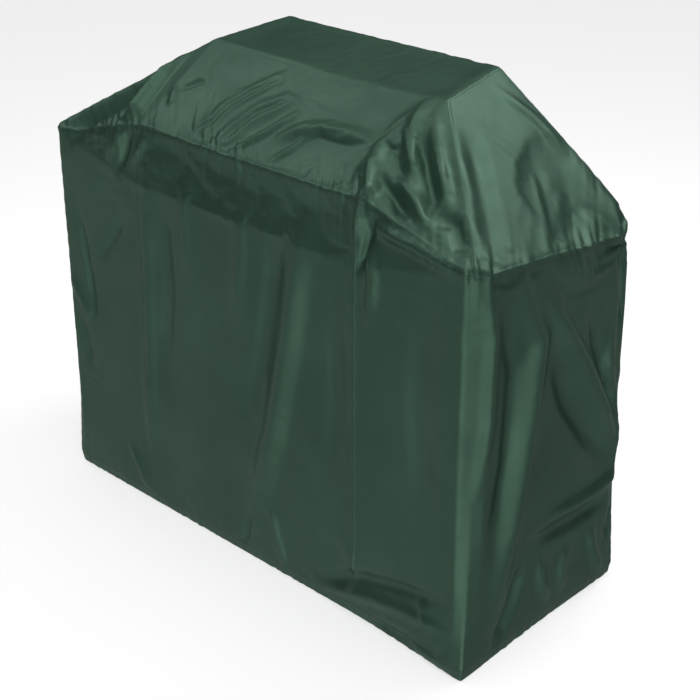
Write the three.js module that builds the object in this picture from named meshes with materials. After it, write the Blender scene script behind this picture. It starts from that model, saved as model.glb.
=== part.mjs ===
// Fitted cover for a barbecue on a cart: a long box skirt that stands on the floor,
// and a cap whose front, back and end slopes rise to a narrow flat top over the hood.
//
// Millimetres, +Z up. The origin is on the floor under the middle of the cover,
// +X runs to the right along the front, and the front faces -Y.
//
// The skin is a polyhedron of flat facets. Each cloth panel is a group of neighbouring
// facets, given a thickness towards the inside, with a small gap to the next panel.

import * as THREE from "three";

// ---------------------------------------------------------------- driving dimensions

const WIDTH = 1400;              // along X, outside of the skirt
const DEPTH = 580;               // along Y, outside of the skirt
const CORNER_HEIGHT = 965;       // shoulder seam at the four corners
const SEAM_HEIGHT = 1040;        // shoulder seam between the vertical seams
const BEND_HEIGHT = 900;         // the skirt starts to lean in above this
const TOP_FRONT_HEIGHT = 1200;   // front edge of the flat top
const RIDGE_HEIGHT = 1224;       // back edge of the flat top
const PANEL_SEAM_X = 365;        // vertical seams, left and right of the middle
const FRONT_SEAM_Y = -262;       // shoulder seam in the middle of the front
const BACK_SEAM_Y = 276;         // shoulder seam in the middle of the back
const TOP_FRONT = { x: 370, y: -10 };   // front corner of the flat top
const TOP_BACK = { x: 336, y: 210 };    // back corner of the flat top

const CLOTH = 1.5;               // thickness of a panel
const GAP = 0.4;                 // clearance between pieces that touch

const CASING_WIDTH = 30;         // hem casing, turned in along the floor
const CASING_HEIGHT = 8;
const CASING_SLIT = 1;           // open side of the casing, along its top layer
const ELASTIC = { width: 20, thickness: 2, edge: 5, base: 3 };

const TAPE = { width: 12, thickness: 1, edge: 3 };
const THREAD = 0.8;              // square section of a stitched thread
const THREAD_EDGE = 4;           // distance from a seam to its stitching
const THREAD_PAIR = 6;           // distance between two parallel stitch lines
const HEM_STITCH_HEIGHT = 14;

// ------------------------------------------------------------------------- materials

const finish = (color, roughness) => {
  return new THREE.MeshStandardMaterial({ color, roughness, metalness: 0 });
};

const clothFinish = finish(0x3a5446, 0.45);
const tapeFinish = finish(0x2c4034, 0.6);
const threadFinish = finish(0x24352b, 0.7);
const elasticFinish = finish(0x1c1f1d, 0.8);

// ------------------------------------------------------------------- corners and facets

const point = (x, y, z) => new THREE.Vector3(x, y, z);
const SIDES = { left: -1, right: 1 };

// corners of the outside of the skin, on one side of the middle
function cornersOfSide(side) {
  const sign = SIDES[side];
  const edgeX = (sign * WIDTH) / 2;
  const seamX = sign * PANEL_SEAM_X;
  const front = -DEPTH / 2;
  const back = DEPTH / 2;
  return {
    [`${side}HemFrontCorner`]: point(edgeX, front, CASING_HEIGHT),
    [`${side}HemFrontSeam`]: point(seamX, front, CASING_HEIGHT),
    [`${side}HemBackCorner`]: point(edgeX, back, CASING_HEIGHT),
    [`${side}HemBackSeam`]: point(seamX, back, CASING_HEIGHT),
    [`${side}FrontBend`]: point(seamX, front, BEND_HEIGHT),
    [`${side}BackBend`]: point(seamX, back, BEND_HEIGHT),
    [`${side}FrontCorner`]: point(edgeX, front, CORNER_HEIGHT),
    [`${side}FrontSeam`]: point(seamX, FRONT_SEAM_Y, SEAM_HEIGHT),
    [`${side}BackCorner`]: point(edgeX, back, CORNER_HEIGHT),
    [`${side}BackSeam`]: point(seamX, BACK_SEAM_Y, SEAM_HEIGHT),
    [`${side}TopFront`]: point(sign * TOP_FRONT.x, TOP_FRONT.y, TOP_FRONT_HEIGHT),
    [`${side}TopBack`]: point(sign * TOP_BACK.x, TOP_BACK.y, RIDGE_HEIGHT),
  };
}

const corners = { ...cornersOfSide("left"), ...cornersOfSide("right") };

// facets of each panel, anticlockwise seen from outside on the right-hand side
const middlePanels = {
  skirt_front: [
    ["leftHemFrontSeam", "rightHemFrontSeam", "rightFrontBend", "leftFrontBend"],
    ["leftFrontBend", "rightFrontBend", "rightFrontSeam", "leftFrontSeam"],
  ],
  skirt_back: [
    ["rightHemBackSeam", "leftHemBackSeam", "leftBackBend", "rightBackBend"],
    ["rightBackBend", "leftBackBend", "leftBackSeam", "rightBackSeam"],
  ],
  cap_strip_front: [["leftFrontSeam", "rightFrontSeam", "rightTopFront", "leftTopFront"]],
  cap_strip_top: [["leftTopFront", "rightTopFront", "rightTopBack", "leftTopBack"]],
  cap_strip_back: [["rightBackSeam", "leftBackSeam", "leftTopBack", "rightTopBack"]],
};

const sidePanels = {
  side_wrap_front: [
    ["HemFrontSeam", "HemFrontCorner", "FrontCorner", "FrontBend"],
    ["FrontBend", "FrontCorner", "FrontSeam"],
  ],
  side_wrap_end: [["HemFrontCorner", "HemBackCorner", "BackCorner", "FrontCorner"]],
  side_wrap_back: [
    ["HemBackCorner", "HemBackSeam", "BackBend", "BackCorner"],
    ["BackCorner", "BackBend", "BackSeam"],
  ],
  cap_strip_front_corner: [["FrontSeam", "FrontCorner", "TopFront"]],
  cap_strip_back_corner: [["BackCorner", "BackSeam", "TopBack"]],
  cap_end: [["FrontCorner", "BackCorner", "TopBack", "TopFront"]],
};

function allPanels() {
  const panels = { ...middlePanels };
  for (const side of Object.keys(SIDES)) {
    for (const [name, facets] of Object.entries(sidePanels)) {
      panels[`${name}_${side}`] = facets.map((facet) => {
        const [first, ...others] = facet.map((corner) => side + corner);
        return side === "right" ? [first, ...others] : [first, ...others.reverse()];
      });
    }
  }
  return panels;
}

function facetNormal(points) {
  const normal = new THREE.Vector3();
  points.forEach((current, index) => {
    const next = points[(index + 1) % points.length];
    normal.add(new THREE.Vector3().crossVectors(current, next));
  });
  return normal.normalize();
}

// the corner of the inside of the skin: as near as can be to one cloth thickness
// inside every facet that meets there, by least squares
function insideCorner(corner, normals) {
  const along = [point(1, 0, 0), point(0, 1, 0), point(0, 0, 1)];
  const keepSmall = 1e-6;
  const sum = (pick) => normals.reduce((total, normal) => total + pick(normal), 0);
  const rows = along.flatMap((row) => {
    return along.map((column) => {
      const diagonal = row === column ? keepSmall : 0;
      return sum((normal) => normal.dot(row) * normal.dot(column)) + diagonal;
    });
  });
  const target = point(...along.map((row) => sum((normal) => -CLOTH * normal.dot(row))));
  return target.applyMatrix3(new THREE.Matrix3().set(...rows).invert()).add(corner);
}

function insideCorners(panels) {
  const normals = Object.fromEntries(Object.keys(corners).map((name) => [name, []]));
  for (const facet of Object.values(panels).flat()) {
    const normal = facetNormal(facet.map((name) => corners[name]));
    facet.forEach((name) => normals[name].push(normal));
  }
  const inside = {};
  for (const [name, corner] of Object.entries(corners)) {
    inside[name] = insideCorner(corner, normals[name]);
  }
  return inside;
}

const panels = allPanels();
const inner = insideCorners(panels);

// ------------------------------------------------------------------ solids from points

function geometryFrom(points, triangles) {
  const geometry = new THREE.BufferGeometry();
  geometry.setFromPoints(points);
  geometry.setIndex(triangles);
  geometry.computeVertexNormals();
  return geometry;
}

function fan(indices) {
  const triangles = [];
  for (let i = 1; i < indices.length - 1; i += 1) {
    triangles.push(indices[0], indices[i], indices[i + 1]);
  }
  return triangles;
}

// edges that only one facet uses, as [from, to, direction into the panel]
function boundaryEdges(facets) {
  const used = new Set(facets.flatMap((facet) => {
    return facet.map((name, i) => `${name} ${facet[(i + 1) % facet.length]}`);
  }));
  return facets.flatMap((facet) => {
    const normal = facetNormal(facet.map((name) => corners[name]));
    return facet.flatMap((from, i) => {
      const to = facet[(i + 1) % facet.length];
      if (used.has(`${to} ${from}`)) {
        return [];
      }
      const along = corners[to].clone().sub(corners[from]).normalize();
      return [[from, to, normal.clone().cross(along)]];
    });
  });
}

// a cloth panel: its facets outside and inside, joined by walls along its edges,
// all drawn in by half the gap
function clothPanel(facets) {
  const edges = boundaryEdges(facets);
  const names = [...new Set(facets.flat())];
  const shift = (name) => {
    const into = edges.filter(([from, to]) => from === name || to === name);
    if (into.length === 0) {
      return new THREE.Vector3();
    }
    const [first, second] = into.map(([, , direction]) => direction);
    const both = first.clone().add(second);
    return both.multiplyScalar(GAP / 2 / (1 + first.dot(second)));
  };
  const outside = names.map((name) => corners[name].clone().add(shift(name)));
  const inside = names.map((name) => inner[name].clone().add(shift(name)));
  const outer = (name) => names.indexOf(name);
  const within = (name) => names.indexOf(name) + names.length;
  const triangles = [
    ...facets.flatMap((facet) => fan(facet.map(outer))),
    ...facets.flatMap((facet) => fan(facet.map(within).reverse())),
    ...edges.flatMap(([from, to]) => fan([outer(from), within(from), within(to), outer(to)])),
  ];
  return geometryFrom([...outside, ...inside], triangles);
}

// a bar through a row of sections that all have the same number of points; a section
// runs clockwise seen from its successor, and cap lists the triangles of an end
function bar(sections, { closed = false, cap = null } = {}) {
  const count = sections[0].length;
  const lastSpan = closed ? sections.length : sections.length - 1;
  const triangles = [];
  for (let row = 0; row < lastSpan; row += 1) {
    const nextRow = (row + 1) % sections.length;
    for (let i = 0; i < count; i += 1) {
      const j = (i + 1) % count;
      const quad = [row * count + i, nextRow * count + i, nextRow * count + j, row * count + j];
      triangles.push(...fan(quad));
    }
  }
  if (!closed) {
    const start = cap ?? fan([...Array(count).keys()]);
    const offset = (sections.length - 1) * count;
    triangles.push(...start);
    triangles.push(...[...start].reverse().map((index) => index + offset));
  }
  return geometryFrom(sections.flat(), triangles);
}

// ------------------------------------------------------------------------ hem casings

// outline of the casing's section, as [distance in from the outside, height]: two
// layers of cloth joined along the inside, with a slit at the top of the outside
function casingOutline() {
  const wall = CLOTH;
  const slit = wall + CASING_SLIT;
  return [
    [0, 0], [0, CASING_HEIGHT - GAP], [wall, CASING_HEIGHT - GAP], [wall, wall],
    [CASING_WIDTH - wall, wall], [CASING_WIDTH - wall, CASING_HEIGHT - GAP - wall],
    [slit, CASING_HEIGHT - GAP - wall], [slit, CASING_HEIGHT - GAP],
    [CASING_WIDTH, CASING_HEIGHT - GAP], [CASING_WIDTH, 0],
  ];
}

// one side of the hem, mitred at both corners of the skirt; the turn is a whole
// number of quarter turns from the front
function hemCasing(turn) {
  const lengths = turn % 2 === 0 ? [WIDTH, DEPTH] : [DEPTH, WIDTH];
  const [halfLength, halfSpan] = lengths.map((length) => length / 2);
  const outline = casingOutline();
  const flat = outline.map(([into, up]) => new THREE.Vector2(into, up));
  const cap = THREE.ShapeUtils.triangulateShape(flat, []).flat().reverse();
  const section = (end) => outline.map(([into, up]) => {
    const along = end * (halfLength - into - GAP / 2);
    return point(along, into - halfSpan, up);
  });
  const turned = [section(-1), section(1)].map((row) => {
    return row.map((corner) => corner.applyAxisAngle(point(0, 0, 1), (turn * Math.PI) / 2));
  });
  return bar(turned, { cap });
}

// ------------------------------------------------- strips, threads and the hem elastic

// sections of a strip that follows a route: at each stop a position, the direction in
// which the strip is wide, and the direction in which it is thick
function stripSections(stops, width, thickness) {
  return stops.map(({ at, wide, thick }) => {
    const corner = (across, up) => {
      return at.clone().addScaledVector(wide, across).addScaledVector(thick, up);
    };
    return [corner(0, 0), corner(0, thickness), corner(width, thickness), corner(width, 0)];
  });
}

// a closed loop round the skirt, at one height, set a distance outside its walls
function rectangleLoop(outset, height, width, thickness, wide, thick) {
  const signs = [[1, -1], [1, 1], [-1, 1], [-1, -1]];
  const stops = signs.map(([signX, signY]) => {
    const at = point(signX * (WIDTH / 2 + outset), signY * (DEPTH / 2 + outset), height);
    const direction = (name) => {
      return name === "up" ? point(0, 0, 1) : point(-signX, -signY, 0);
    };
    return { at, wide: direction(wide), thick: direction(thick) };
  });
  return bar(stripSections(stops, width, thickness), { closed: true });
}

function hemElastic() {
  const { width, thickness, edge, base } = ELASTIC;
  return rectangleLoop(-edge, base, width, thickness, "in", "up");
}

function hemThread() {
  const outset = GAP + THREAD;
  return rectangleLoop(outset, HEM_STITCH_HEIGHT, THREAD, THREAD, "in", "up");
}

// unit step from one named corner towards another
function towards(from, to, table) {
  return table[to].clone().sub(table[from]).normalize();
}

// one side of the shoulder: the corners that its seam passes, and below each of them
// the next corner down the skirt
function shoulderSide(name) {
  const corner = (side, place) => [`${side}${place}Corner`, `${side}Hem${place}Corner`];
  const seam = (side, place) => [`${side}${place}Seam`, `${side}${place}Bend`];
  const sides = {
    front: [corner("left", "Front"), seam("left", "Front"),
      seam("right", "Front"), corner("right", "Front")],
    right: [corner("right", "Front"), corner("right", "Back")],
    back: [corner("right", "Back"), seam("right", "Back"),
      seam("left", "Back"), corner("left", "Back")],
    left: [corner("left", "Back"), corner("left", "Front")],
  };
  return sides[name];
}

const SHOULDER_SIDES = ["front", "right", "back", "left"];

// direction out of the skirt at a corner of the shoulder seam, long enough to step one
// unit clear of each wall that meets there
function outwardAt(name) {
  const { x, y } = corners[name];
  return name.endsWith("Corner") ? point(Math.sign(x), Math.sign(y), 0) : point(0, Math.sign(y), 0);
}

function shoulderTape(name) {
  const route = shoulderSide(name);
  const last = route.length - 1;
  const stops = route.map(([top, below], index) => {
    const wide = towards(top, below, inner);
    const thick = outwardAt(top).negate();
    const at = inner[top].clone().addScaledVector(wide, TAPE.edge).addScaledVector(thick, GAP);
    if (index === 0 || index === last) {
      const neighbour = route[index === 0 ? 1 : last - 1][0];
      at.addScaledVector(towards(top, neighbour, inner), GAP);
    }
    return { at, wide, thick };
  });
  return bar(stripSections(stops, TAPE.width, TAPE.thickness));
}

// where a thread that runs a distance below the shoulder seam crosses the bend line
function bendCrossing(corner, seam, distance) {
  const bend = seam.replace("Seam", "Bend");
  const alongBend = towards(corner, bend, corners);
  const reach = distance / Math.sin(towards(corner, seam, corners).angleTo(alongBend));
  return {
    at: corners[corner].clone().addScaledVector(alongBend, reach),
    wide: point(0, 0, -1),
    thick: point(0, Math.sign(corners[corner].y), 0),
  };
}

// a thread that runs right round the shoulder on the outside of the skirt
function shoulderThread(distance) {
  const route = SHOULDER_SIDES.flatMap((name) => shoulderSide(name).slice(0, -1));
  const stops = route.flatMap(([top, below], index) => {
    const wide = towards(top, below, corners);
    const at = corners[top].clone().addScaledVector(wide, distance);
    const stop = { at, wide, thick: outwardAt(top) };
    const next = route[(index + 1) % route.length][0];
    const ends = [top, next].sort();
    const crosses = ends[0].endsWith("Corner") && ends[1].endsWith("Seam");
    return crosses ? [stop, bendCrossing(...ends, distance)] : [stop];
  });
  stops.forEach(({ at, thick }) => at.addScaledVector(thick, 2 * GAP));
  const sections = stripSections(stops, THREAD, THREAD).map((section) => section.reverse());
  return bar(sections, { closed: true });
}

// route round the three upper edges of a cap end: up the front hip, back along the top
// and down the back hip, a distance inside them and on one face of the panel
function hipStops(side, table, distance, lift) {
  const names = ["FrontCorner", "TopFront", "TopBack", "BackCorner"].map((name) => side + name);
  const facet = side === "right" ? [...names].reverse() : names;
  const normal = facetNormal(facet.map((name) => table[name]));
  const middle = new THREE.Vector3();
  names.forEach((name) => middle.addScaledVector(table[name], 1 / names.length));
  const intoEdge = (from, to) => {
    const into = normal.clone().cross(towards(from, to, table));
    return into.dot(middle.clone().sub(table[from])) > 0 ? into : into.negate();
  };
  const inset = names.slice(0, -1).map((name, index) => intoEdge(name, names[index + 1]));
  return names.map((name, index) => {
    const before = inset[Math.max(index - 1, 0)];
    const after = inset[Math.min(index, inset.length - 1)];
    const wide = before.clone().add(after).multiplyScalar(1 / (1 + before.dot(after)));
    const at = table[name].clone().addScaledVector(wide, distance).addScaledVector(normal, lift);
    const isEnd = index === 0 || index === names.length - 1;
    if (isEnd) {
      const neighbour = names[index === 0 ? 1 : index - 1];
      at.addScaledVector(towards(name, neighbour, table), TAPE.width + TAPE.edge);
    }
    return { at, wide, thick: normal };
  });
}

function hipStrip(side, table, distance, lift, width, thickness) {
  const stops = hipStops(side, table, distance, lift);
  const sections = stripSections(stops, width, thickness);
  const ordered = side === "left" ? sections : sections.map((section) => section.reverse());
  return bar(ordered);
}

function hipTape(side) {
  const lift = -GAP - TAPE.thickness;
  return hipStrip(side, inner, TAPE.edge, lift, TAPE.width, TAPE.thickness);
}

function hipThread(side) {
  return hipStrip(side, corners, THREAD_EDGE, GAP, THREAD, THREAD);
}

// route up a vertical seam, from above the hem stitching to below the shoulder seam
function seamStops(side, face, table, clearance) {
  const hem = table[`${side}Hem${face}Seam`];
  const bend = table[`${side}${face}Bend`];
  const top = table[`${side}${face}Seam`];
  const outward = point(0, face === "Front" ? -1 : 1, 0);
  const start = hem.clone().setZ(CASING_WIDTH);
  const end = top.clone().addScaledVector(bend.clone().sub(top).normalize(), clearance);
  return [start, bend, end].map((at) => ({ at: at.clone(), outward }));
}

function seamStrip(side, face, { table, offset, lift, width, thickness, clearance }) {
  const wide = point(-SIDES[side], 0, 0);
  const stops = seamStops(side, face, table, clearance).map(({ at, outward }) => ({
    at: at.addScaledVector(wide, offset).addScaledVector(outward, lift),
    wide,
    thick: outward,
  }));
  const sections = stripSections(stops, width, thickness);
  const mirrored = (side === "left") !== (face === "Front");
  return bar(mirrored ? sections : sections.map((section) => section.reverse()));
}

function seamTape(side, face) {
  return seamStrip(side, face, {
    table: inner,
    offset: TAPE.edge,
    lift: -GAP - TAPE.thickness,
    width: TAPE.width,
    thickness: TAPE.thickness,
    clearance: 2 * TAPE.edge + TAPE.width,
  });
}

function seamThread(side, face) {
  return seamStrip(side, face, {
    table: corners,
    offset: THREAD_EDGE,
    lift: GAP,
    width: THREAD,
    thickness: THREAD,
    clearance: THREAD_EDGE + 2 * THREAD_PAIR,
  });
}

// ---------------------------------------------------------------------------- assembly

const cover = new THREE.Group();

function add(name, geometry, material) {
  const mesh = new THREE.Mesh(geometry, material);
  mesh.name = name;
  cover.add(mesh);
}

for (const [name, facets] of Object.entries(panels)) {
  add(name, clothPanel(facets), clothFinish);
}

SHOULDER_SIDES.forEach((side, turn) => {
  add(`hem_casing_${side}`, hemCasing(turn), clothFinish);
  add(`shoulder_tape_${side}`, shoulderTape(side), tapeFinish);
});

add("hem_elastic", hemElastic(), elasticFinish);
add("hem_stitching", hemThread(), threadFinish);
add("shoulder_stitching_upper", shoulderThread(THREAD_EDGE), threadFinish);
add("shoulder_stitching_lower", shoulderThread(THREAD_EDGE + THREAD_PAIR), threadFinish);

for (const side of Object.keys(SIDES)) {
  add(`hip_tape_${side}`, hipTape(side), tapeFinish);
  add(`hip_stitching_${side}`, hipThread(side), threadFinish);
  for (const face of ["Front", "Back"]) {
    add(`seam_tape_${face.toLowerCase()}_${side}`, seamTape(side, face), tapeFinish);
    add(`seam_stitching_${face.toLowerCase()}_${side}`, seamThread(side, face), threadFinish);
  }
}

export default cover;
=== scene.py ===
"""A fitted cloth cover for a cart grill, standing on the floor over its grill.

The cover is one skin of thin coated taffeta. It is meshed facet by facet, settled over an
invisible grill by cloth simulation, cut back into the pieces it is sewn from, and then given
its seams, tapes, stitching, hem casing and hem elastic. Lengths are in metres.
"""

import math

import bmesh
import bpy
import numpy as np
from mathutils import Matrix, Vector
from mathutils.bvhtree import BVHTree
from mathutils.geometry import barycentric_transform, delaunay_2d_cdt


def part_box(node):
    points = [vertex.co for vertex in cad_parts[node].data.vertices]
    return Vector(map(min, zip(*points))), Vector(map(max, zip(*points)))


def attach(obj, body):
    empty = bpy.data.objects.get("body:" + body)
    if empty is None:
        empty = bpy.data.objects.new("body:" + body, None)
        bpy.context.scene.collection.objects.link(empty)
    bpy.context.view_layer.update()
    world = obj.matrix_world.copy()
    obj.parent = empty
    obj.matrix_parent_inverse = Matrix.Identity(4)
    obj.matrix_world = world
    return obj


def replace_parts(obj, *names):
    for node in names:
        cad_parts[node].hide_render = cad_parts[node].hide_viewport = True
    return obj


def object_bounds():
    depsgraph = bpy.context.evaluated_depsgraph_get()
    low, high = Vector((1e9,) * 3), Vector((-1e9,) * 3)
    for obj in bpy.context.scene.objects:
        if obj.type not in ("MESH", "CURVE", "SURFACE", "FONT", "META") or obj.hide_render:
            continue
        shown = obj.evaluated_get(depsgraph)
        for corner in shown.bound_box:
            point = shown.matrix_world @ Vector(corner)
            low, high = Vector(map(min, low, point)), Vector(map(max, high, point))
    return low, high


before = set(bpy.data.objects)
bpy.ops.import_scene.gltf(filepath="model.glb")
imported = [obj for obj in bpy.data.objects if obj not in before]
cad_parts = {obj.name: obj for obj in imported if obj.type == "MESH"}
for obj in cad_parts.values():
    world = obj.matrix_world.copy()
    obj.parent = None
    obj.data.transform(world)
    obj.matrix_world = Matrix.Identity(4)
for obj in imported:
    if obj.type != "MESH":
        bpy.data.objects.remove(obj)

CAD_BOX = [list(corner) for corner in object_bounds()]
SEED = 7

# ----- places in the frame

EDGE_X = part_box("side_wrap_end_right")[1].x        # outside of the skirt's ends
FRONT_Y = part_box("skirt_front")[0].y
BACK_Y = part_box("skirt_back")[1].y
SEAM_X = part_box("skirt_front")[1].x                # vertical seams, either side of the middle
HEM_Z = CAD_BOX[0][2] + 0.0015
CORNER_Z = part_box("side_wrap_end_right")[1].z      # shoulder seam at the four corners
SEAM_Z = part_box("skirt_front")[1].z                # shoulder seam in the middle
BEND_Z = 0.9                                       # above this the front and back lean in
FRONT_SEAM_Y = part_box("cap_strip_front")[0].y
BACK_SEAM_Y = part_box("cap_strip_back")[1].y
TOP_FRONT = (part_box("cap_strip_top")[1].x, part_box("cap_strip_top")[0].y,
             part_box("cap_strip_front")[1].z)
TOP_BACK = (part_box("cap_strip_back_corner_right")[0].x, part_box("cap_strip_top")[1].y,
            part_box("cap_strip_top")[1].z)

BACK_CORNER_DROP = {"left": 0.020, "right": 0.052}  # the end seams run down to the back

SIDES = {"left": -1, "right": 1}
FACES = ("Front", "Back")


def side_corners(side):
    """The skin's corners on one side of the middle."""
    faces = (("Front", FRONT_Y, FRONT_SEAM_Y, TOP_FRONT, 0.0),
             ("Back", BACK_Y, BACK_SEAM_Y, TOP_BACK, BACK_CORNER_DROP[side]))
    places = {}
    for face, y, seam_y, top, drop in faces:
        places[f"Hem{face}Corner"] = (EDGE_X, y, HEM_Z)
        places[f"Hem{face}Seam"] = (SEAM_X, y, HEM_Z)
        places[f"{face}Corner"] = (EDGE_X, y, CORNER_Z - drop)
        places[f"{face}Bend"] = (SEAM_X, y, BEND_Z)
        places[f"{face}Seam"] = (SEAM_X, seam_y, SEAM_Z)
        places[f"Top{face}"] = top
    return {side + name: (SIDES[side] * x, y, z) for name, (x, y, z) in places.items()}


CORNERS = {name: Vector(at) for side in SIDES for name, at in side_corners(side).items()}

# facets of each sewn panel, anticlockwise seen from outside on the right-hand side
MIDDLE_PANELS = {
    "skirt_front": [
        ["leftHemFrontSeam", "rightHemFrontSeam", "rightFrontBend", "leftFrontBend"],
        ["leftFrontBend", "rightFrontBend", "rightFrontSeam", "leftFrontSeam"],
    ],
    "skirt_back": [
        ["rightHemBackSeam", "leftHemBackSeam", "leftBackBend", "rightBackBend"],
        ["rightBackBend", "leftBackBend", "leftBackSeam", "rightBackSeam"],
    ],
    "cap_strip": [
        ["leftFrontSeam", "rightFrontSeam", "rightTopFront", "leftTopFront"],
        ["leftTopFront", "rightTopFront", "rightTopBack", "leftTopBack"],
        ["rightBackSeam", "leftBackSeam", "leftTopBack", "rightTopBack"],
    ],
}
SIDE_PANELS = {
    "side_wrap": [
        ["HemFrontSeam", "HemFrontCorner", "FrontCorner", "FrontBend"],
        ["FrontBend", "FrontCorner", "FrontSeam"],
        ["HemFrontCorner", "HemBackCorner", "BackCorner", "FrontCorner"],
        ["HemBackCorner", "HemBackSeam", "BackBend", "BackCorner"],
        ["BackCorner", "BackBend", "BackSeam"],
    ],
    "cap_strip": [["FrontSeam", "FrontCorner", "TopFront"], ["BackCorner", "BackSeam", "TopBack"]],
    "cap_end": [["FrontCorner", "BackCorner", "TopBack", "TopFront"]],
}


def all_panels():
    """Panel name to its facets, each a list of corner names."""
    panels = {name: list(facets) for name, facets in MIDDLE_PANELS.items()}
    for side in SIDES:
        for name, facets in SIDE_PANELS.items():
            named = [[side + corner for corner in facet] for facet in facets]
            if side == "left":
                named = [facet[::-1] for facet in named]
            key = name if name == "cap_strip" else f"{name}_{side}"
            panels.setdefault(key, []).extend(named)
    return panels


PANELS = all_panels()

# ----- helpers

def add_object(name, data):
    """A new object in the scene."""
    made = bpy.data.objects.new(name, data)
    bpy.context.scene.collection.objects.link(made)
    return made


def route_pairs(names, closed=False):
    """Each corner of a route with the next, and the last with the first where it closes."""
    pairs = list(zip(names, names[1:] + names[:1]))
    return pairs if closed else pairs[:-1]


def triangle_sides(triangles):
    """The three sides of every triangle: all first sides, then all second, then all third."""
    return np.concatenate([triangles[:, [0, 1]], triangles[:, [1, 2]], triangles[:, [2, 0]]])


# ----- meshing the skin

MESH_STEP = 0.015
GATHERED_STEP = 0.0095       # round the front shoulder seam, where the cloth is gathered
JITTER = 0.12                # how far a lattice point strays, as a share of the step


def facet_step(names):
    """The mesh step of a facet: finer on both sides of the front shoulder seam."""
    at_seam = any(name.endswith("FrontSeam") and "Hem" not in name for name in names)
    to_floor = any("Hem" in name for name in names)
    return GATHERED_STEP if at_seam and not to_floor else MESH_STEP


def edge_step(start, end):
    """The mesh step along an edge, which is that of the finer facet beside it."""
    return min(facet_step(names) for facets in PANELS.values() for names in facets
               if start in names and end in names)


def edge_points(start, end):
    """Evenly spaced points from one corner to another, the same seen from either end."""
    low, high = sorted((start, end))
    a, b = CORNERS[low], CORNERS[high]
    count = max(1, round((b - a).length / edge_step(low, high)))
    points = [a.lerp(b, i / count) for i in range(count + 1)]
    return points if start == low else points[::-1]


def facet_normal(points):
    """The normal of an outline, as long as twice its area."""
    normal = Vector((0, 0, 0))
    for a, b in zip(points[1:], points[2:]):
        normal += (a - points[0]).cross(b - points[0])
    return normal


def facet_mesh(names, draw):
    """(points, triangles) of one facet: its edges, and a jittered triangular lattice inside."""
    step = facet_step(names)
    outline = []
    for start, end in route_pairs(names, closed=True):
        outline += edge_points(start, end)[:-1]
    origin = outline[0]
    normal = facet_normal(outline).normalized()
    across = (CORNERS[names[1]] - CORNERS[names[0]]).normalized()
    up = normal.cross(across)
    flat = [Vector(((p - origin).dot(across), (p - origin).dot(up))) for p in outline]
    ring = np.array(flat)
    low, high = ring.min(0), ring.max(0)
    row_height = step * math.sqrt(3) / 2
    inside = []
    for row in range(int((high[1] - low[1]) / row_height) + 1):
        for column in range(int((high[0] - low[0]) / step) + 2):
            spot = np.array((low[0] + (column + (row % 2) / 2) * step,
                             low[1] + (row + 0.5) * row_height))
            spot += draw.uniform(-JITTER, JITTER, 2) * step
            if clear_inside(spot, ring, 0.5 * step):
                inside.append(spot)
    spots = flat + [Vector(spot) for spot in inside]
    found, _, faces, *_ = delaunay_2d_cdt(spots, [], [list(range(len(flat)))], 1, 1e-7)
    assert len(found) == len(spots)
    lifted = [lift(spot, ring, outline, origin, across, up) for spot in inside]
    return outline + lifted, [list(face) for face in faces]


def clear_inside(spot, ring, margin):
    """Whether a spot is inside a convex outline by at least the margin."""
    following = np.roll(ring, -1, axis=0)
    along = following - ring
    to_spot = spot - ring
    cross = along[:, 0] * to_spot[:, 1] - along[:, 1] * to_spot[:, 0]
    return bool(np.all(cross / np.linalg.norm(along, axis=1) > margin))


def lift(spot, ring, outline, origin, across, up):
    """A flat spot put back in space; a facet that is a little out of plane stays smooth."""
    base = origin + across * spot[0] + up * spot[1]
    normal = across.cross(up)
    distance = np.linalg.norm(ring - spot, axis=1)
    weight = 1 / distance ** 3
    height = [normal.dot(point - origin) for point in outline]
    return base + normal * float(np.dot(weight, height) / weight.sum())


def skin_mesh():
    """The whole skin as one welded mesh object, its panel index on each face."""
    draw = np.random.default_rng(SEED)
    places, triangles, owners = {}, [], []
    for owner, facets in enumerate(PANELS.values()):
        for names in facets:
            points, faces = facet_mesh(names, draw)
            index = [places.setdefault(tuple(round(c, 6) for c in p), len(places)) for p in points]
            triangles += [[index[i] for i in face] for face in faces]
            owners += [owner] * len(faces)
    mesh = bpy.data.meshes.new("skin")
    mesh.from_pydata([Vector(place) for place in places], [], triangles)
    mesh.polygons.foreach_set("material_index", owners)
    return add_object("skin", mesh)


# ----- folds pressed into the skin

# Each fold: its places, its half width and its height out of the cloth. The places are (x, z)
# seen from the front or back, (y, z) from an end and (x, y) from above.
FRONT_POCKET_RIGHT = [
    ([(0.301, 1.128), (0.365, 1.102), (0.423, 1.072)], 0.034, -0.013),
    ([(0.316, 1.196), (0.349, 1.149), (0.391, 1.113), (0.433, 1.073)], 0.034, 0.014),
    ([(0.359, 1.146), (0.423, 1.109), (0.495, 1.061), (0.52, 1.028)], 0.032, -0.016),
    ([(0.363, 1.179), (0.437, 1.127), (0.518, 1.064)], 0.032, 0.014),
    ([(0.40, 1.165), (0.46, 1.118), (0.53, 1.078), (0.58, 1.04)], 0.030, -0.013),
    ([(0.29, 1.12), (0.311, 1.096), (0.359, 1.054), (0.366, 1.008), (0.361, 0.93)], 0.026, 0.016),
    ([(0.344, 1.081), (0.415, 1.054), (0.482, 1.025)], 0.034, -0.018),
    ([(0.38, 1.075), (0.420, 1.068), (0.482, 1.044), (0.541, 1.015)], 0.028, 0.012),
    ([(0.522, 1.045), (0.578, 1.030), (0.652, 0.992)], 0.034, -0.016),
    ([(0.398, 1.01), (0.40, 0.97), (0.376, 0.88)], 0.018, -0.012),
    ([(0.40, 0.995), (0.52, 0.985), (0.66, 0.965)], 0.022, 0.016),
]
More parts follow.
